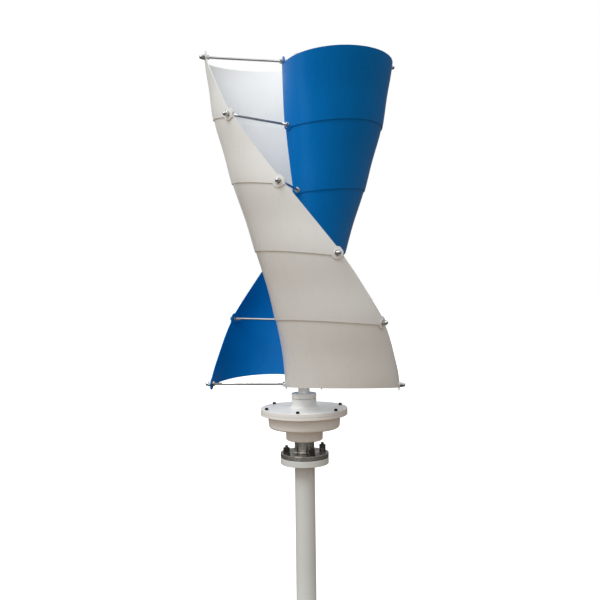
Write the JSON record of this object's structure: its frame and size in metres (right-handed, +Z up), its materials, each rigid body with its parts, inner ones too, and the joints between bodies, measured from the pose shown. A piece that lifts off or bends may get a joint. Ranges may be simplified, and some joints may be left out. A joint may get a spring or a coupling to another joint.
{
  "type": "small vertical-axis wind turbine",
  "caption": "Vertical-axis wind turbine whose twisted scoops of lapped white and blue shells turn on a disc generator on a short flanged mast.",
  "frame": {"origin": "centre of the mast's foot, on the surface that it is bolted to", "axes": "+Z up along the mast and the rotor shaft; +X to the right and +Y away from someone who looks at the white outer edge of the lowest shell from the front"},
  "size_m": [0.5906, 0.582, 1.717],
  "materials": {
    "mast_paint": "satin white paint on steel",
    "housing_paint": "cast, with a satin white powder coat",
    "shaft_stainless": "turned stainless steel",
    "fastener_stainless": "bright stainless steel",
    "black_oxide": "black oxide",
    "blade_white": "gloss gel coat on glass fibre",
    "blade_blue": "gloss gel coat on glass fibre",
    "bearing_steel": "ground bearing steel",
    "cage_brass": "stamped brass",
    "plain_steel": "machined steel",
    "hub_aluminium": "machined",
    "magnet_nickel": "nickel plated",
    "resin": "cast resin",
    "coil_copper": "enamelled copper wire",
    "seal_rubber": "matt black",
    "cap_plastic": "white plastic plug"
  },
  "bodies": {
    "mast": {"mast_base_plate": "mast_paint", "mast_tube": "mast_paint", "mast_top_flange": "mast_paint", "flange_gasket": "seal_rubber", "flange_studs": "fastener_stainless", "flange_washers": "fastener_stainless", "flange_nuts": "fastener_stainless", "stator_shaft": "shaft_stainless", "stator_key": "plain_steel", "bearing_spacer": "plain_steel", "stator_hub": "hub_aluminium", "stator_disc": "resin", "stator_coils": "coil_copper", "stator_screws": "black_oxide", "stator_lock_nut": "black_oxide", "shaft_circlip": "black_oxide", "lower_bearing_inner_ring": "bearing_steel", "upper_bearing_inner_ring": "bearing_steel"},
    "rotor": {"rotor_shaft": "mast_paint", "lower_housing": "housing_paint", "top_cover": "housing_paint", "hub_clamp_ring": "housing_paint", "dome_nuts": "fastener_stainless", "rod_washers": "fastener_stainless", "rod_nuts": "fastener_stainless", "saddle_washers": "fastener_stainless", "tie_rod_1": "fastener_stainless", "tie_rod_2": "fastener_stainless", "tie_rod_3": "fastener_stainless", "tie_rod_4": "fastener_stainless", "tie_rod_5": "fastener_stainless", "tie_rod_6": "fastener_stainless", "cover_screws": "black_oxide", "hub_set_screws": "black_oxide", "lower_plate_screws": "black_oxide", "upper_plate_screws": "black_oxide", "housing_circlip": "black_oxide", "white_blade_1": "blade_white", "white_blade_2": "blade_white", "white_blade_3": "blade_white", "white_blade_4": "blade_white", "white_blade_5": "blade_white", "blue_blade_1": "blade_blue", "blue_blade_2": "blade_blue", "blue_blade_3": "blade_blue", "blue_blade_4": "blade_blue", "blue_blade_5": "blade_blue", "lower_bearing_outer_ring": "bearing_steel", "upper_bearing_outer_ring": "bearing_steel", "lower_rotor_plate": "plain_steel", "upper_rotor_plate": "plain_steel", "lower_magnets": "magnet_nickel", "upper_magnets": "magnet_nickel", "shaft_seal": "seal_rubber", "cover_gasket": "seal_rubber", "shaft_cap": "cap_plastic"},
    "lower_ball_cage": {"lower_bearing_cage": "cage_brass", "lower_bearing_balls": "bearing_steel"},
    "upper_ball_cage": {"upper_bearing_cage": "cage_brass", "upper_bearing_balls": "bearing_steel"}
  },
  "joints": [
    {"name": "rotor_spin", "type": "hinge", "parent": "mast", "child": "rotor", "pos_m": [0, 0, 0.639], "axis": [0, 0, 1], "continuous": true},
    {"name": "lower_cage_spin", "type": "hinge", "parent": "mast", "child": "lower_ball_cage", "pos_m": [0, 0, 0.591], "axis": [0, 0, 1], "continuous": true},
    {"name": "upper_cage_spin", "type": "hinge", "parent": "mast", "child": "upper_ball_cage", "pos_m": [0, 0, 0.6795], "axis": [0, 0, 1], "continuous": true}
  ],
  "couplings": [
    {"joint": "lower_cage_spin", "follows": "rotor_spin", "ratio": 0.6},
    {"joint": "upper_cage_spin", "follows": "rotor_spin", "ratio": 0.5835}
  ]
}
